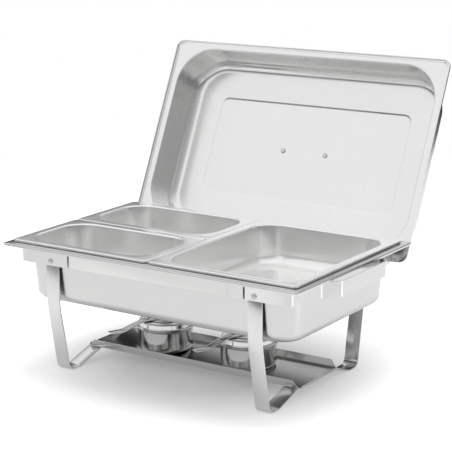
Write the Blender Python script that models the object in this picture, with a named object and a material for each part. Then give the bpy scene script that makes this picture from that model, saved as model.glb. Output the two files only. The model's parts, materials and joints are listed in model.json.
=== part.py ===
"""Folding-frame chafing dish with a water pan, three food pans, two fuel burners and a lift-off lid.

Metres, +Z up. X runs along the dish's long side, -Y is its serving side. The origin is on the surface
that the feet stand on, under the middle of the whole object's box.
"""

import math

import bmesh
import bpy
from mathutils import Matrix, Vector

MM = 0.001

# Driving dimensions
DISH_Y = -90.25 * MM  # the dish's own middle, so that the standing lid behind it balances the box
RIM_Z = 214 * MM  # top of the food pans' rims above the feet
GAP = 0.3 * MM  # clearance between pieces that rest on each other

FOOD_HALF_X = 265 * MM  # the three food pans together are one standard 530 x 325 mm opening
FOOD_HALF_Y = 162.5 * MM
FOOD_FLANGE = 15 * MM
FOOD_LIP = 2.9 * MM
FOOD_DEPTH = 65 * MM
FOOD_SHEET = 0.8 * MM
FOOD_TAPER = 5 * MM

WATER_HALF_X = 275 * MM
WATER_HALF_Y = 176 * MM
WATER_RIM_Z = RIM_Z - 5 * MM  # the food pans stand on a bead inside this flange, clear of its border
WATER_LIP = 4.2 * MM
WATER_FLOOR_Z = RIM_Z - 98 * MM
WATER_SHEET = 1.0 * MM
WATER_WALL_X = 252.5 * MM
WATER_WALL_Y = 151 * MM

STRIP_TOP_Z = WATER_RIM_Z - WATER_SHEET - GAP  # the flange of the water pan lies on the strips
STRIP_LOW_Z = RIM_Z - 34.5 * MM
HANDLE_TOP_Z = RIM_Z - 12.5 * MM  # the strips are cut lower where hands go round them
TONGUE_GAP = 1.1 * MM
TONGUE = (RIM_Z - 34 * MM, RIM_Z - 13.6 * MM)
STRIP_SHEET = 1.8 * MM
INNER_LAYER_Y = 156.4 * MM  # middle of the strip that lies against the legs
OUTER_LAYER_Y = INNER_LAYER_Y + STRIP_SHEET + GAP
BAND_CORNER_X = 250 * MM
BAND_SHOULDER = (263 * MM, 90 * MM)
BAND_HANDLE = (286 * MM, 66 * MM)

LEG_X = 190 * MM
LEG_WIDE = 25 * MM
LEG_SHEET = 2.3 * MM
LEG_Y = INNER_LAYER_Y - STRIP_SHEET / 2 - GAP - LEG_SHEET / 2
PIVOT_Z = RIM_Z - 27.5 * MM
LEG_TOP_Z = PIVOT_Z + 11 * MM
FOOT_Y = 117 * MM
RIVET_R = 2.4 * MM
RIVET_HEAD_R = 4.6 * MM

SHELF_FLOOR_Z = 20 * MM
SHELF_HALF_X = 204 * MM
SHELF_SHIFT_X = 5 * MM
SHELF_HALF_Y = 57 * MM
SHELF_FLANGE = 13 * MM
SHELF_END_LIP = 3 * MM
SHELF_SHEET = 1.0 * MM

BURNER_X = {"left": -83.5 * MM, "right": 78.5 * MM}
CUP_R = 45 * MM
CUP_TALL = 37 * MM
CUP_SHEET = 0.8 * MM
COVER_TOP = 50 * MM
FLAME_HOLE_R = 20 * MM
PLATE_R = 29 * MM
PIN_RADIUS = 34 * MM
HANDLE_DEG = {"left": -116, "right": -112}  # directions of the burner handles, counted from +X
SLIT_TURN = 20  # from the handle round to a slit in the cover's collar
HANDLE_REACH = 102 * MM
HANDLE_DROP = 11.5 * MM
HANDLE_WIDE = 15 * MM

LID_HALF_X = 269 * MM
LID_HALF_V = 169.5 * MM
LID_LEAN = math.radians(25.5)
LID_PLANE_Y = 186 * MM  # where the lid's flange crosses the level of the rims
LID_MIDDLE_V = 126 * MM  # the lid's middle, measured up its own plane from that level
LID_DEPTH = 62 * MM
LID_SHEET = 1.0 * MM
LID_SCREW_X = 42 * MM
LID_SCREW_V = 4 * MM

CORNER_STEPS = 6
TURN_STEPS = 32


def clear_scene():
    for old in list(bpy.data.objects):
        bpy.data.objects.remove(old)


def metal(name, colour, roughness):
    material = bpy.data.materials.new(name)
    material.use_nodes = True
    shader = material.node_tree.nodes["Principled BSDF"]
    shader.inputs["Base Color"].default_value = (*colour, 1.0)
    shader.inputs["Roughness"].default_value = roughness
    shader.inputs["Metallic"].default_value = 1.0
    return material


def add_object(name, mesh_maker, material, origin=(0, 0, 0)):
    """A named object whose mesh was drawn in the dish's frame and whose origin is a point of that frame."""
    mesh = bpy.data.meshes.new(name)
    mesh_maker.transform(Matrix.Translation(-Vector(origin)))
    mesh_maker.to_mesh(mesh)
    mesh_maker.free()
    mesh.materials.append(material)
    mesh.shade_smooth()
    mesh.set_sharp_from_angle(angle=math.radians(35))
    made = bpy.data.objects.new(name, mesh)
    bpy.context.scene.collection.objects.link(made)
    made.location = Vector(origin) + Vector((0, DISH_Y, 0))
    return made


def thicken(made, thickness, offset):
    shell = made.modifiers.new("Sheet", "SOLIDIFY")
    shell.thickness = thickness
    shell.offset = offset
    shell.use_even_offset = True
    return shell


def cut(made, name, cutter_maker):
    """Cuts a hole with a hidden helper drawn in the dish's frame."""
    mesh = bpy.data.meshes.new(name)
    cutter_maker.normal_update()
    bmesh.ops.recalc_face_normals(cutter_maker, faces=cutter_maker.faces)
    cutter_maker.to_mesh(mesh)
    cutter_maker.free()
    cutter = bpy.data.objects.new(name, mesh)
    bpy.context.scene.collection.objects.link(cutter)
    cutter.location = (0, DISH_Y, 0)
    cutter.hide_render = True
    cutter.display_type = "WIRE"
    hole = made.modifiers.new(name, "BOOLEAN")
    hole.operation = "DIFFERENCE"
    hole.solver = "EXACT"
    hole.object = cutter


def rounded_outline(half_x, half_y, radius, steps=CORNER_STEPS):
    """Points of a rounded rectangle about the origin, anticlockwise from the +X side."""
    points = []
    for corner, (sx, sy) in enumerate(((1, 1), (-1, 1), (-1, -1), (1, -1))):
        for step in range(steps + 1):
            angle = math.radians(90) * (corner + step / steps)
            points.append(
                (
                    sx * (half_x - radius) + radius * math.cos(angle),
                    sy * (half_y - radius) + radius * math.sin(angle),
                )
            )
    return points


def loft(rings):
    """A sheet through rings of (half_x, half_y, corner radius, height), closed by a face at the last one.

    Its normals point into the bowl.
    """
    shape = bmesh.new()
    loops = [
        [shape.verts.new((x, y, height)) for x, y in rounded_outline(half_x, half_y, radius)]
        for half_x, half_y, radius, height in rings
    ]
    for near, far in zip(loops, loops[1:]):
        for i in range(len(near)):
            j = (i + 1) % len(near)
            shape.faces.new((near[i], near[j], far[j], far[i]))
    shape.faces.new(loops[-1])
    return shape


def bowl_rings(half_x, half_y, corner, floor, taper, bend, top_z, bottom_z):
    """Rings of a tapered wall that turns into a flat floor through a quarter bend."""
    rings = [(half_x, half_y, corner, top_z)]
    steps = 4
    for step in range(steps + 1):
        angle = math.radians(90) * step / steps
        inset = taper + bend * (1 - math.cos(angle))
        radius = corner + (floor - corner) * step / steps
        rings.append((half_x - inset, half_y - inset, radius, bottom_z + bend * (1 - math.sin(angle))))
    return rings


def filleted(points, radii, steps=4):
    """A 2-D path through points with its inner corners rounded to the given radii."""
    path = [Vector(points[0])]
    for before, here, after, radius in zip(points, points[1:], points[2:], radii):
        here = Vector(here)
        back = (Vector(before) - here).normalized()
        ahead = (Vector(after) - here).normalized()
        half = back.angle(ahead) / 2
        reach = radius / math.tan(half)
        centre = here + (back + ahead).normalized() * radius / math.sin(half)
        first = here + back * reach - centre
        last = here + ahead * reach - centre
        sweep = first.angle_signed(last)
        for step in range(steps + 1):
            turned = first.copy()
            turned.rotate(Matrix.Rotation(-sweep * step / steps, 2))
            path.append(centre + turned)
    path.append(Vector(points[-1]))
    return path


def strip(path, place, low, high):
    """A flat sheet along a 2-D path: place(point, across) gives 3-D, across running from low to high."""
    shape = bmesh.new()
    near = [shape.verts.new(place(point, low)) for point in path]
    edges = [shape.edges.new(pair) for pair in zip(near, near[1:])]
    grown = bmesh.ops.extrude_edge_only(shape, edges=edges)["geom"]
    across = Vector(place(path[0], high)) - Vector(place(path[0], low))
    moved = [item for item in grown if isinstance(item, bmesh.types.BMVert)]
    bmesh.ops.translate(shape, verts=moved, vec=across)
    return shape


def rings_of(shape, profile, steps):
    """A loop of vertices for each (radius, height), or a single vertex on the axis."""
    rings = []
    for radius, along in profile:
        if radius == 0:
            rings.append([shape.verts.new((0, 0, along))])
        else:
            angles = [2 * math.pi * i / steps for i in range(steps)]
            rings.append(
                [shape.verts.new((radius * math.cos(a), radius * math.sin(a), along)) for a in angles]
            )
    for near, far in zip(rings, rings[1:]):
        for i in range(steps):
            j = (i + 1) % steps
            corners = [near[i % len(near)], near[j % len(near)], far[j % len(far)], far[i % len(far)]]
            shape.faces.new(dict.fromkeys(corners))


def turned(profile, centre, steps=TURN_STEPS):
    """A sheet made by turning a profile of (radius, height) about a vertical line through centre.

    A profile that runs outwards and then up has its normals on the outside.
    """
    shape = bmesh.new()
    rings_of(shape, profile, steps)
    shape.transform(Matrix.Translation(centre))
    return shape


def round_bar(centre, direction, length, radius, steps=16):
    """A closed cylinder from centre, along direction."""
    shape = bmesh.new()
    turn = Vector(direction).to_track_quat("Z", "Y").to_matrix().to_4x4()
    middle = Vector(centre) + Vector(direction).normalized() * length / 2
    bmesh.ops.create_cone(
        shape,
        cap_ends=True,
        segments=steps,
        radius1=radius,
        radius2=radius,
        depth=length,
        matrix=Matrix.Translation(middle) @ turn,
    )
    return shape


def stud(centre, direction, profile, steps=16):
    """A closed turned solid: profile of (radius, distance along direction), ending on the axis or closed."""
    shape = bmesh.new()
    rings_of(shape, profile, steps)
    turn = Vector(direction).to_track_quat("Z", "Y").to_matrix().to_4x4()
    shape.transform(Matrix.Translation(Vector(centre)) @ turn)
    bmesh.ops.recalc_face_normals(shape, faces=shape.faces)
    return shape


def half_turned(shape, behind):
    """The same shape, or its copy turned half a turn about the dish's vertical middle line."""
    if behind:
        shape.transform(Matrix.Rotation(math.pi, 4, "Z"))
    return shape


def rivet_holes(made, spots):
    for x, side in spots:
        hole = round_bar((x, side * 140 * MM, PIVOT_Z), (0, side, 0), 40 * MM, RIVET_R + GAP)
        cut(made, f"{made.name}_hole_{'left' if x < 0 else 'right'}_{'front' if side < 0 else 'rear'}", hole)


def frame_ring(steel):
    """Two rails and two end bands, each lapping over the next one in turn, like a folded box's sides."""

    def upright(point, height):
        return (point.x, point.y, height)

    band_path = filleted(
        [
            (-156 * MM, -OUTER_LAYER_Y),
            (-BAND_CORNER_X, -OUTER_LAYER_Y),
            (-BAND_SHOULDER[0], -BAND_SHOULDER[1]),
            (-BAND_HANDLE[0], -BAND_HANDLE[1]),
            (-BAND_HANDLE[0], BAND_HANDLE[1]),
            (-BAND_SHOULDER[0], BAND_SHOULDER[1]),
            (-BAND_CORNER_X, INNER_LAYER_Y),
            (-148.5 * MM, INNER_LAYER_Y),
        ],
        [10 * MM, 12 * MM, 8 * MM, 8 * MM, 12 * MM, 10 * MM],
    )
    tongue_y = OUTER_LAYER_Y + TONGUE_GAP - GAP
    rail_path = filleted(
        [
            (-206 * MM, -INNER_LAYER_Y),
            (142 * MM, -INNER_LAYER_Y),
            (145 * MM, -tongue_y),
            (172.5 * MM, -tongue_y),
        ],
        [1.5 * MM, 1.5 * MM],
        steps=2,
    )
    for names, path, spots in (
        (("end_band_left", "end_band_right"), band_path, [(-LEG_X, -1), (-LEG_X, 1)]),
        (("rail_front", "rail_rear"), rail_path, [(-LEG_X, -1)]),
    ):
        for behind, name in enumerate(names):
            shape = half_turned(strip(path, upright, STRIP_LOW_Z, STRIP_TOP_Z), behind)
            made = add_object(name, shape, steel)
            thicken(made, STRIP_SHEET, 0)
            sign = -1 if behind else 1
            rivet_holes(made, [(sign * x, sign * side) for x, side in spots])
            if path is band_path:
                clear_box(made, "hand_room", behind, (-300, -86), (-258, 86), HANDLE_TOP_Z, RIM_Z)
                clear_box(made, "over_arm", behind, (-172, -170), (-150, -150), TONGUE[1], RIM_Z)
            else:
                clear_box(made, "above_tongue", behind, (146, -170), (180, -150), TONGUE[1], RIM_Z)
                clear_box(made, "below_tongue", behind, (146, -170), (180, -150), 0, TONGUE[0])


def clear_box(made, name, behind, near, far, low, high):
    """Takes away all of a strip in a box, given in millimetres across and by its lower and upper height."""
    shape = bmesh.new()
    bmesh.ops.create_cube(shape, size=1)
    size = [(b - a) * MM for a, b in zip(near, far)] + [high - low]
    middle = [(b + a) / 2 * MM for a, b in zip(near, far)] + [(high + low) / 2]
    shape.transform(Matrix.Translation(middle) @ Matrix.Diagonal((*size, 1)))
    cut(made, f"{made.name}_{name}", half_turned(shape, behind))


def leg_frame(name, x, steel):
    """One flat strip bent into front leg, foot, raised crossbar for the shelf, foot and rear leg."""
    bar_z = SHELF_FLOOR_Z - SHELF_SHEET - GAP - LEG_SHEET / 2
    foot_z = LEG_SHEET / 2
    half = [
        (LEG_Y, LEG_TOP_Z),
        (LEG_Y, 112 * MM),
        (FOOT_Y + 16 * MM, foot_z),
        (FOOT_Y - 10 * MM, foot_z),
        (50 * MM, bar_z),
    ]
    bends = [150 * MM, 13 * MM, 13 * MM, 10 * MM]
    points = [(-y, z) for y, z in half] + [(y, z) for y, z in reversed(half)]
    path = filleted(points, bends + bends[::-1])
    shape = strip(path, lambda point, across: (across, point.x, point.y), x - LEG_WIDE / 2, x + LEG_WIDE / 2)
    made = add_object(name, shape, steel, origin=(x, 0, PIVOT_Z))
    thicken(made, LEG_SHEET, 0)
    rivet_holes(made, [(x, -1), (x, 1)])


def leg_rivets(steel):
    """The four hinge pins, each headed over the outer strip and inside the leg."""
    inside = LEG_Y - LEG_SHEET / 2 - GAP
    for x in (-LEG_X, LEG_X):
        for side in (-1, 1):
            over_band = x * side > 0
            outside = (OUTER_LAYER_Y if over_band else INNER_LAYER_Y) + STRIP_SHEET / 2 + GAP
            profile = [
                (0, inside - 0.9 * MM),
                (RIVET_HEAD_R, inside - 0.9 * MM),
                (RIVET_HEAD_R, inside),
                (RIVET_R, inside),
                (RIVET_R, outside),
                (RIVET_HEAD_R, outside),
                (RIVET_HEAD_R * 0.92, outside + 0.7 * MM),
                (RIVET_HEAD_R * 0.6, outside + 1.5 * MM),
                (0, outside + 1.8 * MM),
            ]
            name = f"leg_rivet_{'left' if x < 0 else 'right'}_{'front' if side < 0 else 'rear'}"
            add_object(name, stud((x, 0, PIVOT_Z), (0, side, 0), profile), steel, origin=(x, 0, PIVOT_Z))


def lid_rests(steel):
    """Two cradles behind the rear rail: the standing lid's lip and the foot of its dome rest on them."""
    face = INNER_LAYER_Y + STRIP_SHEET / 2 + GAP + 0.9 * MM
    near_z = RIM_Z - 41.9 * MM
    far_z = RIM_Z - 46.0 * MM
    path = filleted(
        [
            (face, 197 * MM),
            (face, near_z),
            (174 * MM, near_z),
            (196 * MM, far_z),
            (246.5 * MM, far_z),
            (246.5 * MM, RIM_Z - 31 * MM),
        ],
        [2.5 * MM, 20 * MM, 20 * MM, 5 * MM],
        steps=3,
    )
    for name, x in (("lid_rest_left", -110 * MM), ("lid_rest_right", 110 * MM)):
        shape = strip(path, lambda point, across: (across, point.x, point.y), x - 10 * MM, x + 10 * MM)
        made = add_object(name, shape, steel)
        thicken(made, 1.8 * MM, 0)


def water_pan(steel):
    """A deep pan; a bead round the inside of its flange carries the food pans above the flange's border.

    The bead is notched where the lips between two food pans cross it.
    """
    edge = 1.2 * MM
    bead_z = RIM_Z - FOOD_SHEET - GAP

    def around(out, corner, height):
        return (WATER_WALL_X + out, WATER_WALL_Y + out, corner, height)

    rings = [
        (WATER_HALF_X, WATER_HALF_Y, 7 * MM, WATER_RIM_Z - WATER_LIP),
        (WATER_HALF_X, WATER_HALF_Y, 7 * MM, WATER_RIM_Z - edge),
        (WATER_HALF_X - edge, WATER_HALF_Y - edge, 7 * MM, WATER_RIM_Z),
        around(3.6 * MM, 40 * MM, WATER_RIM_Z),
        around(3.2 * MM, 40 * MM, bead_z - 0.6 * MM),
        around(2.7 * MM, 40 * MM, bead_z),
        around(0.6 * MM, 38 * MM, bead_z),
    ] + bowl_rings(
        WATER_WALL_X,
        WATER_WALL_Y,
        38 * MM,
        28 * MM,
        5 * MM,
        16 * MM,
        bead_z - 0.6 * MM,
        WATER_FLOOR_Z,
    )
    made = add_object("water_pan", loft(rings), steel, origin=(0, 0, RIM_Z))
    thicken(made, WATER_SHEET, -1)
    for name, near, far in (
        ("notch_front", (-3, -158), (3, -148)),
        ("notch_rear", (-3, 148), (3, 158)),
        ("notch_left", (-260, -3), (-249, 3)),
    ):
        clear_box(made, name, False, near, far, RIM_Z - FOOD_LIP - GAP, RIM_Z)


def food_pan(name, low, high, steel):
    """A pan whose rim fills the rectangle from low to high, less the gap to its neighbours."""
    middle = ((low[0] + high[0]) / 2, (low[1] + high[1]) / 2)
    half_x = (high[0] - low[0]) / 2 - GAP
    half_y = (high[1] - low[1]) / 2 - GAP
    wall_x, wall_y = half_x - FOOD_FLANGE, half_y - FOOD_FLANGE
    edge = 1.5 * MM
    rings = [
        (half_x, half_y, 8 * MM, RIM_Z - FOOD_LIP),
        (half_x, half_y, 8 * MM, RIM_Z - edge),
        (half_x - edge, half_y - edge, 8 * MM, RIM_Z),
        (wall_x + 2 * MM, wall_y + 2 * MM, 42 * MM, RIM_Z),
    ] + bowl_rings(
        wall_x, wall_y, 42 * MM, 26 * MM, FOOD_TAPER, 19 * MM, RIM_Z - 2.5 * MM, RIM_Z - FOOD_DEPTH
    )
    shape = loft(rings)
    shape.transform(Matrix.Translation((*middle, 0)))
    made = add_object(name, shape, steel, origin=(*middle, RIM_Z))
    thicken(made, FOOD_SHEET, -1)


def food_pans(steel):
    x, y = FOOD_HALF_X, FOOD_HALF_Y
    food_pan("food_pan_half", (0, -y), (x, y), steel)
    food_pan("food_pan_quarter_front", (-x, -y), (0, 0), steel)
    food_pan("food_pan_quarter_rear", (-x, 0), (0, y), steel)


def fuel_shelf(steel):
    """A tray with low end lips and flared front and rear flanges whose ends are cut back at a slant."""
    half = SHELF_HALF_X
    flare = SHELF_FLANGE * math.sin(math.radians(16))
    rise = SHELF_FLANGE * math.cos(math.radians(16))
    floor = SHELF_FLOOR_Z
    shape = bmesh.new()
    corners = {}
    for side in (-1, 1):
        for end in (-1, 1):
            corners["tip", side, end] = (end * (half - 14 * MM), side * (SHELF_HALF_Y + flare), floor + rise)
            corners["bend", side, end] = (end * (half - 3 * MM), side * SHELF_HALF_Y, floor)
            corners["end", side, end] = (end * half, side * (SHELF_HALF_Y - 3 * MM), floor)
            corners["lip", side, end] = (end * half, side * (SHELF_HALF_Y - 3 * MM), floor + SHELF_END_LIP)
    verts = {key: shape.verts.new(place) for key, place in corners.items()}
    outline = [("bend", -1, -1), ("bend", -1, 1), ("end", -1, 1), ("end", 1, 1)]
    outline += [("bend", 1, 1), ("bend", 1, -1), ("end", 1, -1), ("end", -1, -1)]
    shape.faces.new([verts[key] for key in outline])
    for side in (-1, 1):
        flange = [("bend", side, -1), ("tip", side, -1), ("tip", side, 1), ("bend", side, 1)]
        shape.faces.new([verts[key] for key in flange])
    for end in (-1, 1):
        lip = [("end", -1, end), ("end", 1, end), ("lip", 1, end), ("lip", -1, end)]
        shape.faces.new([verts[key] for key in lip])
    bmesh.ops.recalc_face_normals(shape, faces=shape.faces)
    bmesh.ops.translate(shape, verts=shape.verts, vec=(SHELF_SHIFT_X, 0, -SHELF_SHEET / 2))
    made = add_object("fuel_shelf", shape, steel, origin=(SHELF_SHIFT_X, 0, SHELF_FLOOR_Z))
    thicken(made, SHELF_SHEET, 0)


def burner(side_name, x, steel):
    """A fuel cup, its stepped cover with a flame hole, and a plate on a long handle that swivels over it."""
    floor = SHELF_FLOOR_Z + GAP
    centre = Vector((x, 0, floor))
    bend = 7 * MM
    cup = [(0, 0)]
    for step in range(5):
        angle = math.radians(90) * step / 4
        cup.append((CUP_R - bend * (1 - math.sin(angle)), bend * (1 - math.cos(angle))))
    cup += [(CUP_R, CUP_TALL - 1.5 * MM), (CUP_R + 1.2 * MM, CUP_TALL)]
    made = add_object(f"fuel_cup_{side_name}", turned(cup, centre), steel, origin=centre)
    thicken(made, CUP_SHEET, -1)

    step_z = CUP_TALL + GAP + 1.5 * CUP_SHEET
    cover = [
        (CUP_R + 1.2 * MM, step_z),
        (CUP_R - 1 * MM, step_z + 1 * MM),
        (CUP_R - 2 * MM, step_z + 3 * MM),
        (CUP_R - 2 * MM, COVER_TOP - 2 * MM),
        (CUP_R - 4 * MM, COVER_TOP),
        (FLAME_HOLE_R, COVER_TOP),
    ]
    made = add_object(f"cup_cover_{side_name}", turned(cover, centre), steel, origin=centre)
    thicken(made, CUP_SHEET, -1)
    direction = math.radians(HANDLE_DEG[side_name])
    slit = bmesh.new()
    bmesh.ops.create_cube(slit, size=1)
    place = Matrix.Rotation(direction + math.radians(SLIT_TURN), 4, "Z")
    slit.transform(
        Matrix.Translation(centre)
        @ place
        @ Matrix.Translation((CUP_R, 0, COVER_TOP - 5.5 * MM))
        @ Matrix.Diagonal((10 * MM, 1.4 * MM, 7 * MM, 1))
    )
    cut(made, f"{made.name}_slit", slit)

    heading = Vector((math.cos(direction), math.sin(direction), 0))
    aside = Vector((-heading.y, heading.x, 0))
    pin = centre + heading * PIN_RADIUS
    plate_low = COVER_TOP + GAP
    plate_high = plate_low + 1 * MM
    pin_hole_r = 1.8 * MM

    profile = [(0, plate_low), (PLATE_R, plate_low), (PLATE_R, plate_high), (0, plate_high)]
    plate = stud(centre, (0, 0, 1), profile, 28)
    made = add_object(f"swivel_plate_{side_name}", plate, steel, origin=pin)
    rivet_spot = centre + heading * 16 * MM
    drill(made, "rivet_hole", rivet_spot, pin_hole_r)

    strap_z = plate_high + GAP + 0.7 * MM
    path = filleted(
        [
            (4 * MM, strap_z),
            (40 * MM, strap_z),
            (78 * MM, strap_z - HANDLE_DROP),
            (HANDLE_REACH, strap_z - HANDLE_DROP),
        ],
        [12 * MM, 12 * MM],
        steps=3,
    )

    def along_heading(point, across):
        return centre + heading * point.x + aside * across + Vector((0, 0, point.y))

    strap = strip(path, along_heading, -HANDLE_WIDE / 2, HANDLE_WIDE / 2)
    made = add_object(f"swivel_handle_{side_name}", strap, steel, origin=pin)
    thicken(made, 1.2 * MM, 0)
    drill(made, "pin_hole", pin, pin_hole_r)
    drill(made, "rivet_hole", rivet_spot, pin_hole_r)
    for number, reach in enumerate((56 * MM, 77 * MM), 1):
        drill(made, f"grip_hole_{number}", centre + heading * reach, 2.2 * MM)

    cover_low = COVER_TOP - CUP_SHEET
    drill(bpy.data.objects[f"cup_cover_{side_name}"], "pin_hole", pin, pin_hole_r)
    top = strap_z + 0.6 * MM + GAP
    for name, spot, low in (
        (f"swivel_pin_{side_name}", pin, cover_low - GAP),
        (f"handle_rivet_{side_name}", rivet_spot, plate_low),
    ):
        start = low - 1 * MM if spot is pin else low
        profile = [(0, start), (3.2 * MM, start), (3.2 * MM, low), (1.5 * MM, low)]
        if spot is rivet_spot:
            profile = [(0, start), (1.5 * MM, start)]
        profile += [(1.5 * MM, top), (3.2 * MM, top), (2.6 * MM, top + 1 * MM), (0, top + 1.2 * MM)]
        add_object(name, stud(spot, (0, 0, 1), profile, 14), steel, origin=spot)


def drill(made, name, spot, radius):
    """A vertical hole through a burner's sheet pieces."""
    bar_middle = (spot.x, spot.y, spot.z + 30 * MM)
    cut(made, f"{made.name}_{name}", round_bar(bar_middle, (0, 0, 1), 50 * MM, radius, 12))


def lid(steel, handle_steel):
    """The lid stands on its long edge behind the dish, leaning back, its hollow side to the front."""
    up_plane = Vector((0, math.sin(LID_LEAN), math.cos(LID_LEAN)))
    middle = Vector((0, LID_PLANE_Y, RIM_Z)) + LID_MIDDLE_V * up_plane
    standing = Matrix.Translation(middle) @ Matrix.Rotation(math.radians(90) - LID_LEAN, 4, "X")
    opening_x, opening_v = LID_HALF_X - 15 * MM, LID_HALF_V - 12.5 * MM
    rings = [
        (LID_HALF_X, LID_HALF_V, 13 * MM, 4 * MM),
        (LID_HALF_X, LID_HALF_V, 13 * MM, 1.2 * MM),
        (LID_HALF_X - 1.2 * MM, LID_HALF_V - 1.2 * MM, 13 * MM, 0),
        (opening_x + 3 * MM, opening_v + 3 * MM, 68 * MM, 0),
    ] + bowl_rings(opening_x, opening_v, 66 * MM, 46 * MM, 6 * MM, 17 * MM, -2.5 * MM, -LID_DEPTH)
    rings += [
        (190 * MM, 87 * MM, 14 * MM, -LID_DEPTH),
        (187 * MM, 84 * MM, 12 * MM, -LID_DEPTH - 1.5 * MM),
    ]
    shape = loft(rings)
    shape.transform(standing)
    made = add_object("lid_shell", shape, steel, origin=middle)
    thicken(made, LID_SHEET, -1)

    back = -LID_DEPTH - 1.5 * MM - LID_SHEET
    strap = filleted(
        [
            (-LID_SCREW_X - 12 * MM, back - 1.8 * MM),
            (-LID_SCREW_X + 8 * MM, back - 1.8 * MM),
            (-LID_SCREW_X + 12 * MM, back - 34 * MM),
            (LID_SCREW_X - 12 * MM, back - 34 * MM),
            (LID_SCREW_X - 8 * MM, back - 1.8 * MM),
            (LID_SCREW_X + 12 * MM, back - 1.8 * MM),
        ],
        [4 * MM, 9 * MM, 9 * MM, 4 * MM],
        steps=3,
    )
    low, high = LID_SCREW_V - 11 * MM, LID_SCREW_V + 11 * MM
    shape = strip(strap, lambda point, across: (point.x, across, point.y), low, high)
    shape.transform(standing)
    handle = add_object("lid_handle", shape, handle_steel, origin=middle)
    thicken(handle, 2 * MM, 0)

    for side_name, x in (("left", -LID_SCREW_X), ("right", LID_SCREW_X)):
        inner_face = -LID_DEPTH - 1.5 * MM
        hole_at = standing @ Vector((x, LID_SCREW_V, 0))
        backward = standing.to_3x3() @ Vector((0, 0, -1))
        for piece in (made, handle):
            hole = round_bar(hole_at, backward, 90 * MM, 2.4 * MM, 12)
            cut(piece, f"{piece.name}_screw_hole_{side_name}", hole)
        head = inner_face + GAP
        tail = back - 2.8 * MM - 5 * MM
        profile = [
            (0, head + 2 * MM),
            (3 * MM, head + 1.8 * MM),
            (4.5 * MM, head + 0.6 * MM),
            (4.5 * MM, head),
            (2 * MM, head),
            (2 * MM, tail),
            (0, tail),
        ]
        screw = stud((x, LID_SCREW_V, 0), (0, 0, 1), profile, 16)
        screw.transform(standing)
        head_at = standing @ Vector((x, LID_SCREW_V, inner_face))
        add_object(f"lid_screw_{side_name}", screw, steel, origin=head_at)
        nut_top = back - 2.8 * MM - GAP
        nut_low = nut_top - 3.2 * MM
        profile = [(2.8 * MM, nut_top), (4.2 * MM, nut_top), (4.2 * MM, nut_low), (2.8 * MM, nut_low)]
        nut = stud((x, LID_SCREW_V, 0), (0, 0, 1), profile + profile[:1], 6)
        bmesh.ops.remove_doubles(nut, verts=nut.verts, dist=0.00001)
        bmesh.ops.recalc_face_normals(nut, faces=nut.faces)
        nut.transform(standing)
        add_object(f"lid_nut_{side_name}", nut, steel, origin=standing @ Vector((x, LID_SCREW_V, nut_top)))


clear_scene()
SATIN = metal("satin_stainless", (0.80, 0.80, 0.79), 0.28)
POLISHED = metal("polished_stainless", (0.83, 0.83, 0.82), 0.14)
FRAME = metal("frame_stainless", (0.76, 0.76, 0.75), 0.24)
BURNER = metal("burner_stainless", (0.74, 0.74, 0.72), 0.2)

frame_ring(FRAME)
leg_frame("leg_frame_left", -LEG_X, FRAME)
leg_frame("leg_frame_right", LEG_X, FRAME)
leg_rivets(POLISHED)
lid_rests(FRAME)
fuel_shelf(POLISHED)
burner("left", BURNER_X["left"], BURNER)
burner("right", BURNER_X["right"], BURNER)
water_pan(SATIN)
food_pans(SATIN)
lid(SATIN, POLISHED)
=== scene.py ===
import json
import math

import bmesh
import bpy
from mathutils import Matrix, Vector

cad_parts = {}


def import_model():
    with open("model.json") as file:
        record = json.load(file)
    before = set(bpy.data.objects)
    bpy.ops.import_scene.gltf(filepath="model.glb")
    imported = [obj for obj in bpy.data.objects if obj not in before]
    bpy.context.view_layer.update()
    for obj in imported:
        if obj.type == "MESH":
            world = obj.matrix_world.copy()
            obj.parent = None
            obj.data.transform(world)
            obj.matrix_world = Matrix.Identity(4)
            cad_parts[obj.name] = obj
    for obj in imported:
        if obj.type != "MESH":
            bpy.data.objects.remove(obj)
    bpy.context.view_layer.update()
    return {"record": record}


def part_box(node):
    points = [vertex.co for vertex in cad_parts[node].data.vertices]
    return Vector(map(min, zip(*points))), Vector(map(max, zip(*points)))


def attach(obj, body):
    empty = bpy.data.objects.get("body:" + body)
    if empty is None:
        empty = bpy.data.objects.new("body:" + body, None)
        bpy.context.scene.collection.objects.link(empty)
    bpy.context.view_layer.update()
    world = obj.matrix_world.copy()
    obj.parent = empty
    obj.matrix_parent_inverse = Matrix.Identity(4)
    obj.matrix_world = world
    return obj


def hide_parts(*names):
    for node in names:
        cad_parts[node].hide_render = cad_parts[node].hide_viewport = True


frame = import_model()
MM = 0.001


def middle_of(node):
    low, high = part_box(node)
    return (low + high) / 2


# Sizes in metres, the same as the CAD's apart from the food pans' lips and the carrying strips, which are a
# little taller here. Places come from the CAD's boxes. The slots round the tongues are only drawn here.
DISH_Y = middle_of("water_pan").y
RIM_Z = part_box("food_pan_half")[1].z
GAP = 0.3 * MM
FOOD_HALF = (265 * MM, 162.5 * MM)
FOOD_FLANGE = 15 * MM
FOOD_LIP = 4.0 * MM
FOOD_DEPTH = 65 * MM
WATER_HALF = (275 * MM, 176 * MM)
WATER_RIM_Z = RIM_Z - 5 * MM
WATER_LIP = 4.2 * MM
WATER_FLOOR_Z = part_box("water_pan")[0].z + 1 * MM
WATER_WALL = (252.5 * MM, 151 * MM)
STRIP_TOP_Z = WATER_RIM_Z - 1.3 * MM
STRIP_LOW_Z = RIM_Z - 34.5 * MM
HANDLE_TOP_Z = RIM_Z - 10.6 * MM
TONGUE = (RIM_Z - 34 * MM, RIM_Z - 13.6 * MM)
STRIP_SHEET = 1.8 * MM
INNER_LAYER_Y = 156.4 * MM
OUTER_LAYER_Y = INNER_LAYER_Y + STRIP_SHEET + GAP
LEG_X = 190 * MM
LEG_WIDE = 25 * MM
LEG_SHEET = 2.3 * MM
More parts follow.
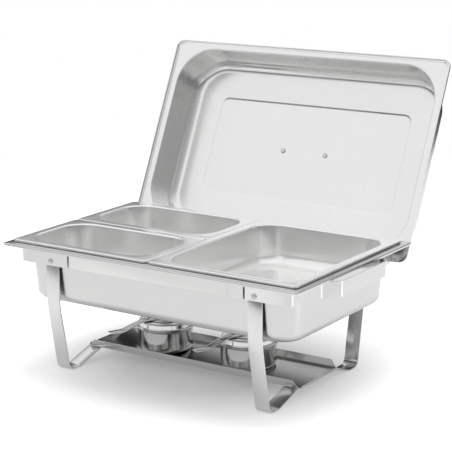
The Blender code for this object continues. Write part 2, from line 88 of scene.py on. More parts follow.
LEG_Y = INNER_LAYER_Y - STRIP_SHEET / 2 - GAP - LEG_SHEET / 2
PIVOT_Z = RIM_Z - 27.5 * MM
LEG_TOP_Z = PIVOT_Z + 11 * MM
FOOT_Y = 117 * MM
SHELF_FLOOR_Z = 20 * MM
CUP_R = 45 * MM
CUP_TALL = 37 * MM
CUP_SHEET = 0.8 * MM
COVER_TOP = 50 * MM
FLAME_HOLE_R = 20 * MM
SLIT_TURN = math.radians(20)
HANDLE_DEG = {"left": -116, "right": -112}
PLATE_R = 29 * MM
PLATE_SHEET = 1 * MM
HANDLE_SHEET = 1.2 * MM
HANDLE_WIDE = 15 * MM
HANDLE_START = 4 * MM
HANDLE_REACH = 102 * MM
HANDLE_DROP = 11.5 * MM
GRIP_HOLES = (56 * MM, 77 * MM)
LID_HALF = (269 * MM, 169.5 * MM)
LID_LEAN = math.radians(25.5)
LID_PLANE_Y = 186 * MM  # where the lid's flange crosses the level of the rims
LID_MIDDLE_V = 126 * MM  # the lid's middle, measured up its own plane from that level
LID_DEPTH = 62 * MM
LID_SHEET = 1.0 * MM
CORNER_STEPS = 18

# Floor: a disc that gives white to the camera away from the dish and keeps the soft shadow under it.
FLOOR_R = 1.9
FLOOR_GREY = 0.62
FLOOR_GLOW = 0.21
FLOOR_EXTRA_GLOW = 0.5
SHADOW_FADE = (0.12, 0.42)

# Camera, fitted to the rims, the feet and the lid: its turn, lens and place from the middle of the rims.
CAMERA_AZIMUTH = math.radians(33.74)
CAMERA_ELEVATION = math.radians(13.51)
CAMERA_ROLL = math.radians(-0.37)
CAMERA_LENS = 127.46
CAMERA_PLACE = Vector((1.3966, -2.0355, 0.6144))

# Brightness of the studio by the height of a direction: in front, on the right and behind.
SKY_LOW = -0.2
SKY_STRENGTH = 2.0
FRONT_SKY = ((-0.2, 0.5), (-0.05, 0.14), (0.06, 0.16), (0.15, 0.6), (0.3, 0.92), (0.5, 1.0), (1.0, 1.05))
RIGHT_SKY = ((-0.2, 0.5), (-0.05, 0.14), (0.07, 0.12), (0.17, 0.3), (0.3, 0.42), (0.55, 0.5), (1.0, 1.05))
REAR_SKY = ((-0.2, 0.05), (0.0, 0.02), (0.22, 0.04), (0.36, 0.3), (0.55, 0.9), (1.0, 1.05))


# ---------------------------------------------------------------- camera
def make_camera():
    """The main view: from the right front and a little above."""
    level = math.cos(CAMERA_ELEVATION)
    forward = Vector(
        (
            -math.sin(CAMERA_AZIMUTH) * level,
            math.cos(CAMERA_AZIMUTH) * level,
            -math.sin(CAMERA_ELEVATION),
        )
    )
    right = forward.cross(Vector((0, 0, 1))).normalized()
    up = right.cross(forward)
    across = math.cos(CAMERA_ROLL) * right + math.sin(CAMERA_ROLL) * up
    upward = -math.sin(CAMERA_ROLL) * right + math.cos(CAMERA_ROLL) * up
    data = bpy.data.cameras.new("camera")
    data.lens = CAMERA_LENS
    data.sensor_width = 36
    data.clip_end = 100
    made = bpy.data.objects.new("camera", data)
    bpy.context.scene.collection.objects.link(made)
    turn = Matrix((across, upward, -forward)).transposed().to_4x4()
    made.matrix_world = Matrix.Translation(Vector((0, DISH_Y, RIM_Z)) + CAMERA_PLACE) @ turn
    bpy.context.scene.camera = made


# ---------------------------------------------------------------- materials
def node(tree, kind, **inputs):
    """A shader node; its sockets are set by name, with _ for a space."""
    made = tree.nodes.new(kind)
    for key, value in inputs.items():
        made.inputs[key.replace("_", " ")].default_value = value
    return made


def steel(name, colour, roughness, grain, grain_size, bump, rubbing_and_highlight=0.5, metal=1.0):
    """Stainless sheet: fine stretched grain, slow changes of sheen and tone, and sharp edges painted
    lighter, partly as rubbing of the edges and partly as a painted highlight.
    """
    cloud = 0.05  # how far the slow patches change the roughness
    material = bpy.data.materials.new(name)
    material.use_nodes = True
    tree = material.node_tree
    shader = tree.nodes["Principled BSDF"]
    shader.inputs["Metallic"].default_value = metal
    coords = node(tree, "ShaderNodeTexCoord")
    stretch = node(tree, "ShaderNodeMapping", Scale=grain)
    tree.links.new(coords.outputs["Object"], stretch.inputs["Vector"])
    fine = node(tree, "ShaderNodeTexNoise", Scale=grain_size, Detail=4.0, Roughness=0.6)
    tree.links.new(stretch.outputs["Vector"], fine.inputs["Vector"])
    slow = node(tree, "ShaderNodeTexNoise", Scale=7.0, Detail=3.0, Roughness=0.55)
    tree.links.new(coords.outputs["Object"], slow.inputs["Vector"])
    middling = node(tree, "ShaderNodeTexNoise", Scale=42.0, Detail=5.0, Roughness=0.65)
    tree.links.new(coords.outputs["Object"], middling.inputs["Vector"])

    def ranged(source, low, high, start=0.3, end=0.7):
        made = node(tree, "ShaderNodeMapRange", From_Min=start, From_Max=end, To_Min=low, To_Max=high)
        tree.links.new(source, made.inputs["Value"])
        return made.outputs["Result"]

    def maths(operation, first, second):
        made = node(tree, "ShaderNodeMath")
        made.operation = operation
        for socket, value in zip(made.inputs, (first, second)):
            if isinstance(value, (int, float)):
                socket.default_value = value
            else:
                tree.links.new(value, socket)
        return made.outputs[0]

    patches = ranged(slow.outputs["Fac"], -cloud, cloud)
    brushing = ranged(fine.outputs["Fac"], -0.02, 0.03)
    smudges = ranged(middling.outputs["Fac"], -0.3 * cloud, 0.5 * cloud)
    sheen = maths("ADD", maths("ADD", patches, brushing), smudges)
    tree.links.new(maths("ADD", sheen, roughness), shader.inputs["Roughness"])

    # Sharp convex edges, found by pointiness, are mixed towards near white: partly the edges' rubbing,
    # partly a painted highlight.
    geometry = node(tree, "ShaderNodeNewGeometry")
    rubbing_and_highlight_mask = ranged(geometry.outputs["Pointiness"], 0.0, rubbing_and_highlight, 0.52, 0.6)
    tone = node(tree, "ShaderNodeMix")
    tone.data_type = "RGBA"
    tone.inputs["A"].default_value = (*(0.955 * c for c in colour), 1)
    tone.inputs["B"].default_value = (*colour, 1)
    tree.links.new(ranged(slow.outputs["Fac"], 0.0, 1.0), tone.inputs["Factor"])
    rubbing_and_highlight_mix = node(tree, "ShaderNodeMix")
    rubbing_and_highlight_mix.data_type = "RGBA"
    rubbing_and_highlight_mix.inputs["B"].default_value = (0.93, 0.93, 0.92, 1)
    tree.links.new(tone.outputs["Result"], rubbing_and_highlight_mix.inputs["A"])
    tree.links.new(rubbing_and_highlight_mask, rubbing_and_highlight_mix.inputs["Factor"])
    tree.links.new(rubbing_and_highlight_mix.outputs["Result"], shader.inputs["Base Color"])

    rough = node(tree, "ShaderNodeBump", Strength=bump, Distance=0.0004)
    tree.links.new(fine.outputs["Fac"], rough.inputs["Height"])
    dents = node(tree, "ShaderNodeBump", Strength=0.02, Distance=0.01)
    tree.links.new(slow.outputs["Fac"], dents.inputs["Height"])
    tree.links.new(rough.outputs["Normal"], dents.inputs["Normal"])
    tree.links.new(dents.outputs["Normal"], shader.inputs["Normal"])
    return material


# ---------------------------------------------------------------- shapes, drawn in the dish's own frame
def piece(
    name, shape, material, body, nodes, thickness=0.0, offset=0.0, edge=0.0, sharp=40, holes=()
):
    """One visible piece: a sheet given thickness, holes and rounded edges, riding on a body."""
    mesh = bpy.data.meshes.new(name)
    shape.transform(Matrix.Translation((0, DISH_Y, 0)))
    shape.to_mesh(mesh)
    shape.free()
    made = bpy.data.objects.new(name, mesh)
    bpy.context.scene.collection.objects.link(made)
    if thickness:
        shell = made.modifiers.new("sheet", "SOLIDIFY")
        shell.thickness = thickness
        shell.offset = offset
        shell.use_even_offset = True
    for number, hole in enumerate(holes):
        cutter = bpy.data.objects.new(f"{name}_hole_{number}", bpy.data.meshes.new(f"{name}_hole_{number}"))
        hole.transform(Matrix.Translation((0, DISH_Y, 0)))
        hole.normal_update()
        bmesh.ops.recalc_face_normals(hole, faces=hole.faces)
        hole.to_mesh(cutter.data)
        hole.free()
        bpy.context.scene.collection.objects.link(cutter)
        drill = made.modifiers.new("hole", "BOOLEAN")
        drill.operation = "DIFFERENCE"
        drill.solver = "EXACT"
        drill.object = cutter
    if edge:
        round_off = made.modifiers.new("edge", "BEVEL")
        round_off.width = edge
        round_off.segments = 2
        round_off.limit_method = "ANGLE"
        round_off.angle_limit = math.radians(50)
    bpy.context.view_layer.update()
    graph = bpy.context.evaluated_depsgraph_get()
    final = bpy.data.meshes.new_from_object(made.evaluated_get(graph), depsgraph=graph)
    for modifier in list(made.modifiers):
        cutter = getattr(modifier, "object", None)
        made.modifiers.remove(modifier)
        if cutter:
            bpy.data.objects.remove(cutter)
    made.data = final
    final.name = name
    final.materials.clear()
    final.materials.append(material)
    final.shade_smooth()
    final.set_sharp_from_angle(angle=math.radians(sharp))
    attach(made, body)
    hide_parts(*nodes)


def rounded_outline(half_x, half_y, radius, steps=CORNER_STEPS):
    """The corner points of a rounded rectangle, anticlockwise from the +X side."""
    points = []
    for corner, (sx, sy) in enumerate(((1, 1), (-1, 1), (-1, -1), (1, -1))):
        for step in range(steps + 1):
            angle = math.radians(90) * (corner + step / steps)
            points.append(
                (
                    sx * (half_x - radius) + radius * math.cos(angle),
                    sy * (half_y - radius) + radius * math.sin(angle),
                )
            )
    return points


def loft(rings):
    """A sheet through rings of (half_x, half_y, corner radius, height); its normals point into the bowl."""
    shape = bmesh.new()
    loops = [
        [shape.verts.new((x, y, height)) for x, y in rounded_outline(half_x, half_y, radius)]
        for half_x, half_y, radius, height in rings
    ]
    for near, far in zip(loops, loops[1:]):
        for i in range(len(near)):
            j = (i + 1) % len(near)
            shape.faces.new((near[i], near[j], far[j], far[i]))
    shape.faces.new(loops[-1])
    return shape


def arc_rings(half, corner, radius, top, steps=5):
    """Rings over a rounded outer edge, from its upright side to its flat top."""
    rings = []
    for step in range(steps + 1):
        angle = math.radians(90) * step / steps
        inset = radius * (1 - math.cos(angle))
        height = top - radius * (1 - math.sin(angle))
        rings.append((half[0] - inset, half[1] - inset, corner - inset, height))
    return rings


def bowl_rings(half, corner, floor, taper, bend, top_z, bottom_z, entry):
    """Rings over a rounded entry, down a tapered wall and through a quarter bend to a flat floor."""
    rings = []
    for step in range(6):
        angle = math.radians(90) * step / 5
        out = entry * (1 - math.sin(angle))
        height = top_z - entry * (1 - math.cos(angle))
        rings.append((half[0] + out, half[1] + out, corner + out * 0.4, height))
    wall_end = bottom_z + bend
    for step in range(1, 6):
        share = step / 5
        rings.append(
            (
                half[0] - taper * share,
                half[1] - taper * share,
                corner,
                (top_z - entry) + (wall_end - top_z + entry) * share,
            )
        )
    steps = 12
    for step in range(1, steps + 1):
        angle = math.radians(90) * step / steps
        inset = taper + bend * (1 - math.cos(angle))
        radius = corner + (floor - corner) * step / steps
        rings.append((half[0] - inset, half[1] - inset, radius, bottom_z + bend * (1 - math.sin(angle))))
    return rings


def filleted(points, radii, steps=10):
    """A 2-D path through the points, each corner between its ends rounded to its radius."""
    path = [Vector(points[0])]
    for before, here, after, radius in zip(points, points[1:], points[2:], radii):
        here = Vector(here)
        back = (Vector(before) - here).normalized()
        ahead = (Vector(after) - here).normalized()
        half = back.angle(ahead) / 2
        reach = radius / math.tan(half)
        centre = here + (back + ahead).normalized() * radius / math.sin(half)
        first = here + back * reach - centre
        last = here + ahead * reach - centre
        sweep = first.angle_signed(last)
        for step in range(steps + 1):
            turned_by = first.copy()
            turned_by.rotate(Matrix.Rotation(-sweep * step / steps, 2))
            path.append(centre + turned_by)
    path.append(Vector(points[-1]))
    return path


def strip(path, place, levels):
    """A flat sheet along a 2-D path: levels(point) gives its two edges, place(point, edge) puts them."""
    shape = bmesh.new()
    near = [shape.verts.new(place(point, levels(point)[0])) for point in path]
    far = [shape.verts.new(place(point, levels(point)[1])) for point in path]
    for i in range(len(path) - 1):
        shape.faces.new((near[i], near[i + 1], far[i + 1], far[i]))
    return shape


def turned(profile, centre, steps=96):
    """A sheet turned about a vertical line; a profile that runs outwards and then up faces outward."""
    shape = bmesh.new()
    rings = []
    for radius, along in profile:
        if radius == 0:
            rings.append([shape.verts.new((0, 0, along))])
        else:
            angles = [2 * math.pi * i / steps for i in range(steps)]
            rings.append(
                [shape.verts.new((radius * math.cos(a), radius * math.sin(a), along)) for a in angles]
            )
    for near, far in zip(rings, rings[1:]):
        for i in range(steps):
            j = (i + 1) % steps
            corners = [near[i % len(near)], near[j % len(near)], far[j % len(far)], far[i % len(far)]]
            shape.faces.new(dict.fromkeys(corners))
    shape.transform(Matrix.Translation(centre))
    return shape


def bar(spot, radius, length):
    """An upright round bar, used as a cutter."""
    shape = bmesh.new()
    bmesh.ops.create_cone(
        shape,
        cap_ends=True,
        segments=24,
        radius1=radius,
        radius2=radius,
        depth=length,
        matrix=Matrix.Translation(spot),
    )
    return shape


def block(matrix):
    """A unit cube put in place by a matrix, used as a cutter."""
    shape = bmesh.new()
    bmesh.ops.create_cube(shape, size=1)
    shape.transform(matrix)
    return shape


def block_between(low, high):
    """A box from one corner to the opposite one, used as a cutter."""
    size = Vector(high) - Vector(low)
    return block(Matrix.Translation((Vector(low) + Vector(high)) / 2) @ Matrix.Diagonal((*size, 1)))


def half_turned(shape, behind):
    """The same shape, or for the rear piece of a pair, turned by half a turn about the dish's middle."""
    if behind:
        shape.transform(Matrix.Rotation(math.pi, 4, "Z"))
    return shape


# ---------------------------------------------------------------- pans
def water_pan(metal):
    """The deep outer pan: a flat rim with a turned-down edge, and a bead round the opening."""
    bead_z = RIM_Z - 1.1 * MM
    rings = [(*WATER_HALF, 7 * MM, WATER_RIM_Z - WATER_LIP)]
    rings += arc_rings(WATER_HALF, 7 * MM, 1.5 * MM, WATER_RIM_Z)

    def around(out, corner, height):
        return (WATER_WALL[0] + out, WATER_WALL[1] + out, corner, height)

    rings += [
        around(4.2 * MM, 40 * MM, WATER_RIM_Z),
        around(3.6 * MM, 40 * MM, WATER_RIM_Z + 0.4 * MM),
        around(3.3 * MM, 40 * MM, bead_z - 0.8 * MM),
        around(3.0 * MM, 40 * MM, bead_z - 0.2 * MM),
        around(2.5 * MM, 40 * MM, bead_z),
    ]
    rings += bowl_rings(WATER_WALL, 38 * MM, 28 * MM, 5 * MM, 16 * MM, bead_z, WATER_FLOOR_Z, 1 * MM)
    piece("look_water_pan", loft(rings), metal, "water", ["water_pan"], 1 * MM, -1)


def food_pan(name, body, low, high, metal):
    """A food pan whose flange fills the plan rectangle from low to high."""
    middle = ((low[0] + high[0]) / 2, (low[1] + high[1]) / 2)
    half = ((high[0] - low[0]) / 2 - GAP, (high[1] - low[1]) / 2 - GAP)
    wall = (half[0] - FOOD_FLANGE, half[1] - FOOD_FLANGE)
    rings = [(*half, 8 * MM, RIM_Z - FOOD_LIP)]
    rings += arc_rings(half, 8 * MM, 1.4 * MM, RIM_Z)
    rings += [(wall[0] + 5 * MM, wall[1] + 5 * MM, 42 * MM, RIM_Z)]
    bottom_z = RIM_Z - FOOD_DEPTH
    rings += bowl_rings(wall, 42 * MM, 26 * MM, 5 * MM, 19 * MM, RIM_Z - 0.01 * MM, bottom_z, 2.4 * MM)
    shape = loft(rings)
    shape.transform(Matrix.Translation((*middle, 0)))
    piece("look_" + name, shape, metal, body, [name], 0.8 * MM, -1)


def food_pans(metal):
    """One half-size pan on the right and two quarter-size pans on the left."""
    x, y = FOOD_HALF
    food_pan("food_pan_half", "pan_half", (0, -y), (x, y), metal)
    food_pan("food_pan_quarter_front", "pan_quarter_front", (-x, -y), (0, 0), metal)
    food_pan("food_pan_quarter_rear", "pan_quarter_rear", (-x, 0), (0, y), metal)


# ---------------------------------------------------------------- stand
def frame_ring(metal):
    """Two rails and two end bands. Each is drawn for the left or front and half turned for its twin."""
    band_path = filleted(
        [
            (-156 * MM, -OUTER_LAYER_Y),
            (-250 * MM, -OUTER_LAYER_Y),
            (-263 * MM, -90 * MM),
            (-286 * MM, -66 * MM),
            (-286 * MM, 66 * MM),
            (-263 * MM, 90 * MM),
            (-250 * MM, INNER_LAYER_Y),
            (-148.5 * MM, INNER_LAYER_Y),
        ],
        [10 * MM, 12 * MM, 8 * MM, 8 * MM, 12 * MM, 10 * MM],
    )
    step_x = -172 * MM  # where the band's end is cut lower
    handle_end = 86 * MM  # where the carrying part begins, with its lower top edge
    band = [
        band_path[0],
        Vector((step_x + 0.05 * MM, -OUTER_LAYER_Y)),
        Vector((step_x - 0.05 * MM, -OUTER_LAYER_Y)),
    ]
    for start, end in zip(band_path[1:], band_path[2:]):
        band.append(start)
        for limit in (-handle_end, handle_end):
            if start.x < -200 * MM and (start.y - limit) * (end.y - limit) < 0:
                band.append(start.lerp(end, (limit - start.y) / (end.y - start.y)))
                band.append(band[-1] + (end - start).normalized() * 0.05 * MM)
    band.append(band_path[-1])
    tongue_y = OUTER_LAYER_Y + 0.8 * MM
    rail = filleted(
        [
            (-206 * MM, -INNER_LAYER_Y),
            (142 * MM, -INNER_LAYER_Y),
            (145 * MM, -tongue_y),
            (172.5 * MM, -tongue_y),
        ],
        [1.5 * MM, 1.5 * MM],
        steps=4,
    )

    def upright(point, height):
        return (point.x, point.y, height)

    def band_levels(point):
        if point.x < -200 * MM and abs(point.y) < handle_end + 0.02 * MM:
            return STRIP_LOW_Z, HANDLE_TOP_Z
        if point.x > step_x and point.y < 0:
            return STRIP_LOW_Z, TONGUE[1]
        return STRIP_LOW_Z, STRIP_TOP_Z

    def rail_levels(point):
        return TONGUE if point.x > 145.5 * MM else (STRIP_LOW_Z, STRIP_TOP_Z)

    # Slots in the inner layer round the tongue and beside the band's end.
    slot_wide = 1.3 * MM
    slot_top = TONGUE[1] + slot_wide
    near, far = INNER_LAYER_Y - 3 * MM, INNER_LAYER_Y + 3 * MM
    tongue_end = -172.6 * MM
    band_end = -155.7 * MM
    over_tongue = ((tongue_end - slot_wide, near, TONGUE[1]), (-150.5 * MM, far, slot_top))
    beside_tongue = ((tongue_end - slot_wide, near, TONGUE[0]), (tongue_end, far, slot_top))
    beside_band = ((band_end, -far, STRIP_LOW_Z + 1 * MM), (band_end + slot_wide, -near, TONGUE[1]))

    for names, path, levels, slots in (
        (("end_band_left", "end_band_right"), band, band_levels, (over_tongue, beside_tongue)),
        (("rail_front", "rail_rear"), rail, rail_levels, (beside_band,)),
    ):
        for behind, name in enumerate(names):
            shape = half_turned(strip(path, upright, levels), behind)
            holes = [half_turned(block_between(*corners), behind) for corners in slots]
            piece(
                "look_" + name,
                shape,
                metal,
                "stand",
                [name],
                STRIP_SHEET,
                0,
                0.35 * MM,
                12,
                holes,
            )


def leg_frame(side, x, metal):
    """One bent flat strip: front leg, foot, raised crossbar, foot and rear leg."""
    bar_z = SHELF_FLOOR_Z - 1.3 * MM - LEG_SHEET / 2
    foot_z = LEG_SHEET / 2
    half = [
        (LEG_Y, LEG_TOP_Z),
        (LEG_Y, 112 * MM),
        (FOOT_Y + 16 * MM, foot_z),
        (FOOT_Y - 10 * MM, foot_z),
        (50 * MM, bar_z),
    ]
    bends = [150 * MM, 13 * MM, 13 * MM, 10 * MM]
    points = [(-y, z) for y, z in half] + [(y, z) for y, z in reversed(half)]
    path = filleted(points, bends + bends[::-1])
    shape = strip(
        path,
        lambda point, across: (across, point.x, point.y),
        lambda point: (x - LEG_WIDE / 2, x + LEG_WIDE / 2),
    )
    name = f"leg_frame_{side}"
    piece("look_" + name, shape, metal, f"leg_{side}", [name], LEG_SHEET, 0, 0.45 * MM)


# ---------------------------------------------------------------- shelf and burners
def fuel_shelf(metal):
    """A tray with low end lips and flared front and rear flanges whose ends are cut back at a slant."""
    half, half_y = 204 * MM, 57 * MM
    flange, lean, cut_back = 13 * MM, math.radians(16), 11 * MM
    flare = flange * math.sin(lean)
    rise = flange * math.cos(lean)
    floor = SHELF_FLOOR_Z
    shape = bmesh.new()
    profile = [(-half_y - flare, floor + rise)]
    bend = [(-half_y - 0.9 * MM, floor + 2.2 * MM), (-half_y - 0.25 * MM, floor + 0.8 * MM)]
    profile += bend + [(-half_y + 0.9 * MM, floor)]
    profile += [(-y, z) for y, z in reversed(profile)]
    rows = []
    for y, z in profile:
        up = (z - floor) / rise
        reach = half - 3 * MM - cut_back * up
        rows.append([shape.verts.new((sign * reach, y, z)) for sign in (-1, 1)])
    for near, far in zip(rows, rows[1:]):
        shape.faces.new((near[0], near[1], far[1], far[0]))
    for end in (0, 1):
        sign = 2 * end - 1
        inner = [rows[3][end], rows[4][end]]
        outer = [shape.verts.new((sign * half, y, floor)) for y in (-half_y + 3 * MM, half_y - 3 * MM)]
        lip = [
            shape.verts.new((sign * (half + 0.3 * MM), y, floor + 3 * MM))
            for y in (-half_y + 3.5 * MM, half_y - 3.5 * MM)
        ]
        shape.faces.new((inner[0], inner[1], outer[1], outer[0]))
        shape.faces.new((outer[0], outer[1], lip[1], lip[0]))
    bmesh.ops.recalc_face_normals(shape, faces=shape.faces)
    bmesh.ops.translate(shape, verts=shape.verts, vec=(5 * MM, 0, -0.5 * MM))
    piece("look_fuel_shelf", shape, metal, "shelf", ["fuel_shelf"], 1 * MM, 0, 0.2 * MM)


def burner(side, metal, bright):
    """A fuel cup, its stepped cover with a flame hole and a slit, and a plate on a long cranked handle."""
    cup_middle = middle_of(f"fuel_cup_{side}")
    centre = Vector((cup_middle.x, 0, SHELF_FLOOR_Z + GAP))
    bend = 7 * MM
    cup = [(0, 0)]
    for step in range(11):
        angle = math.radians(90) * step / 10
        cup.append((CUP_R - bend * (1 - math.sin(angle)), bend * (1 - math.cos(angle))))
    cup += [(CUP_R, 18 * MM), (CUP_R, CUP_TALL - 2 * MM), (CUP_R + 0.25 * MM, CUP_TALL - 1.1 * MM)]
    cup += [(CUP_R + 0.8 * MM, CUP_TALL - 0.4 * MM), (CUP_R + 1.2 * MM, CUP_TALL)]
    name = f"fuel_cup_{side}"
    shape = turned(cup, centre)
    piece("look_" + name, shape, metal, f"cup_{side}", [name], CUP_SHEET, -1, 0.15 * MM)

    step_z = CUP_TALL + GAP + 1.5 * CUP_SHEET
    cover = [
        (CUP_R + 1.2 * MM, step_z),
        (CUP_R + 0.2 * MM, step_z + 0.25 * MM),
        (CUP_R - 1.0 * MM, step_z + 1.0 * MM),
        (CUP_R - 1.7 * MM, step_z + 2.0 * MM),
        (CUP_R - 2.0 * MM, step_z + 3.2 * MM),
    ]
    shoulder = 2.4 * MM
    for step in range(7):
        angle = math.radians(90) * step / 6
        inset = shoulder * (1 - math.cos(angle))
        cover.append((CUP_R - 2 * MM - inset, COVER_TOP - shoulder * (1 - math.sin(angle))))
    cover += [(30 * MM, COVER_TOP), (FLAME_HOLE_R, COVER_TOP)]
    direction = math.radians(HANDLE_DEG[side])
    slit = block(
        Matrix.Translation(centre)
        @ Matrix.Rotation(direction + SLIT_TURN, 4, "Z")
        @ Matrix.Translation((CUP_R, 0, COVER_TOP - 5.5 * MM))
        @ Matrix.Diagonal((10 * MM, 1.4 * MM, 7 * MM, 1))
    )
    name = f"cup_cover_{side}"
    shape = turned(cover, centre)
    body, holes = f"cover_{side}", [slit]
    piece("look_" + name, shape, metal, body, [name], CUP_SHEET, -1, 0.15 * MM, holes=holes)

    heading = Vector((math.cos(direction), math.sin(direction), 0))
    aside = Vector((-heading.y, heading.x, 0))
    low = COVER_TOP + GAP
    high = low + PLATE_SHEET
    plate = [
        (0, low),
        (PLATE_R - 0.5 * MM, low),
        (PLATE_R, low + 0.35 * MM),
        (PLATE_R - 0.2 * MM, low + 0.75 * MM),
        (PLATE_R - 0.8 * MM, high),
        (PLATE_R - 2.5 * MM, high - 0.05 * MM),
        (12 * MM, high - 0.1 * MM),
        (0, high - 0.1 * MM),
    ]
    name = f"swivel_plate_{side}"
    body = f"swivel_{side}"
    piece("look_" + name, turned(plate, centre), bright, body, [name])

    strap_z = high + GAP + 0.7 * MM
    grip_z = strap_z - HANDLE_DROP
    path = filleted(
        [
            (HANDLE_START, strap_z),
            (40 * MM, strap_z),
            (78 * MM, grip_z),
            (HANDLE_REACH - 1 * MM, grip_z),
        ],
        [12 * MM, 12 * MM],
        steps=8,
    )

    def along_heading(point, across):
        return centre + heading * point.x + aside * across + Vector((0, 0, point.y))

    first = path.pop(0)
    path = [first, Vector((first.x + 1 * MM, first.y))] + path + [Vector((HANDLE_REACH, grip_z))]

    def strap_levels(point):
        edge = HANDLE_WIDE / 2
        from_end = min(point.x - HANDLE_START, HANDLE_REACH - point.x)
        if from_end < 0.95 * MM:
            edge -= 1.1 * MM - from_end
        return -edge, edge

    holes = [bar(centre + heading * reach, 2.2 * MM, 160 * MM) for reach in GRIP_HOLES]
    name = f"swivel_handle_{side}"
    shape = strip(path, along_heading, strap_levels)
    edge = 0.25 * MM
    piece("look_" + name, shape, bright, body, [name], HANDLE_SHEET, 0, edge, holes=holes)


# ---------------------------------------------------------------- lid
def lid_shell(metal):
    """The lid, its hollow side to the front: a border bead, a deep bowl and a sunk panel in its floor."""
    lean = Vector((0, math.sin(LID_LEAN), math.cos(LID_LEAN)))
    middle = Vector((0, LID_PLANE_Y, RIM_Z)) + LID_MIDDLE_V * lean
    standing = Matrix.Translation(middle) @ Matrix.Rotation(math.radians(90) - LID_LEAN, 4, "X")
    opening = (LID_HALF[0] - 15 * MM, LID_HALF[1] - 12.5 * MM)
    corner, fold = 13 * MM, 1.5 * MM
    rings = [(*LID_HALF, corner, 4 * MM), (*LID_HALF, corner, fold)]
    for step in range(1, 6):
        angle = math.radians(90) * step / 5
        inset = fold * (1 - math.cos(angle))
        height = fold * (1 - math.sin(angle))
        rings.append((LID_HALF[0] - inset, LID_HALF[1] - inset, corner - inset, height))
    rings += [
        (LID_HALF[0] - 3.2 * MM, LID_HALF[1] - 3.2 * MM, 11 * MM, 0),
        (LID_HALF[0] - 3.7 * MM, LID_HALF[1] - 3.7 * MM, 11 * MM, -0.5 * MM),
        (LID_HALF[0] - 4.2 * MM, LID_HALF[1] - 4.2 * MM, 11 * MM, -0.5 * MM),
        (opening[0] + 5 * MM, opening[1] + 5 * MM, 67 * MM, -0.3 * MM),
    ]
    rings += bowl_rings(opening, 66 * MM, 46 * MM, 6 * MM, 17 * MM, -0.3 * MM, -LID_DEPTH, 2.4 * MM)
    rings += [
        (191.2 * MM, 88.2 * MM, 15 * MM, -LID_DEPTH),
        (190.2 * MM, 87.2 * MM, 15 * MM, -LID_DEPTH - 0.15 * MM),
        (188.4 * MM, 85.4 * MM, 13 * MM, -LID_DEPTH - 1.35 * MM),
        (187.4 * MM, 84.4 * MM, 13 * MM, -LID_DEPTH - 1.5 * MM),
        (186.4 * MM, 83.4 * MM, 12 * MM, -LID_DEPTH - 1.5 * MM),
    ]
    shape = loft(rings)
    # The panel lies a little above the middle of the lid's floor.
    for vert in shape.verts:
        if vert.co.z < -LID_DEPTH + 0.01 * MM and abs(vert.co.y) < 100 * MM:
            vert.co.y += 2 * MM
    shape.transform(standing)
    piece("look_lid_shell", shape, metal, "lid", ["lid_shell"], LID_SHEET, -1)


# ---------------------------------------------------------------- surroundings
def floor():
    """A pale disc. It glows a little, and to the camera it glows more with the distance from the dish."""
    shape = bmesh.new()
    bmesh.ops.create_circle(shape, cap_ends=True, segments=96, radius=FLOOR_R)
    mesh = bpy.data.meshes.new("floor")
    shape.to_mesh(mesh)
    shape.free()
    made = bpy.data.objects.new("floor", mesh)
    bpy.context.scene.collection.objects.link(made)
    made.location = (0, DISH_Y, 0)
    material = bpy.data.materials.new("floor")
    material.use_nodes = True
    tree = material.node_tree
    shader = tree.nodes["Principled BSDF"]
    shader.inputs["Base Color"].default_value = (FLOOR_GREY, FLOOR_GREY, FLOOR_GREY, 1)
    shader.inputs["Roughness"].default_value = 0.9
    shader.inputs["Specular IOR Level"].default_value = 0.0
    shader.inputs["Emission Color"].default_value = (1, 1, 1, 1)
    coords = node(tree, "ShaderNodeTexCoord")
    length = node(tree, "ShaderNodeVectorMath")
    length.operation = "LENGTH"
    tree.links.new(coords.outputs["Object"], length.inputs[0])
    outward = node(tree, "ShaderNodeMapRange", To_Min=0.0, To_Max=FLOOR_EXTRA_GLOW)
    outward.inputs["From Min"].default_value, outward.inputs["From Max"].default_value = SHADOW_FADE
    tree.links.new(length.outputs["Value"], outward.inputs["Value"])
    path = node(tree, "ShaderNodeLightPath")
    seen = node(tree, "ShaderNodeMath")
    seen.operation = "MULTIPLY_ADD"
    tree.links.new(outward.outputs["Result"], seen.inputs[0])
    tree.links.new(path.outputs["Is Camera Ray"], seen.inputs[1])
    seen.inputs[2].default_value = FLOOR_GLOW
    tree.links.new(seen.outputs[0], shader.inputs["Emission Strength"])
    mesh.materials.append(material)


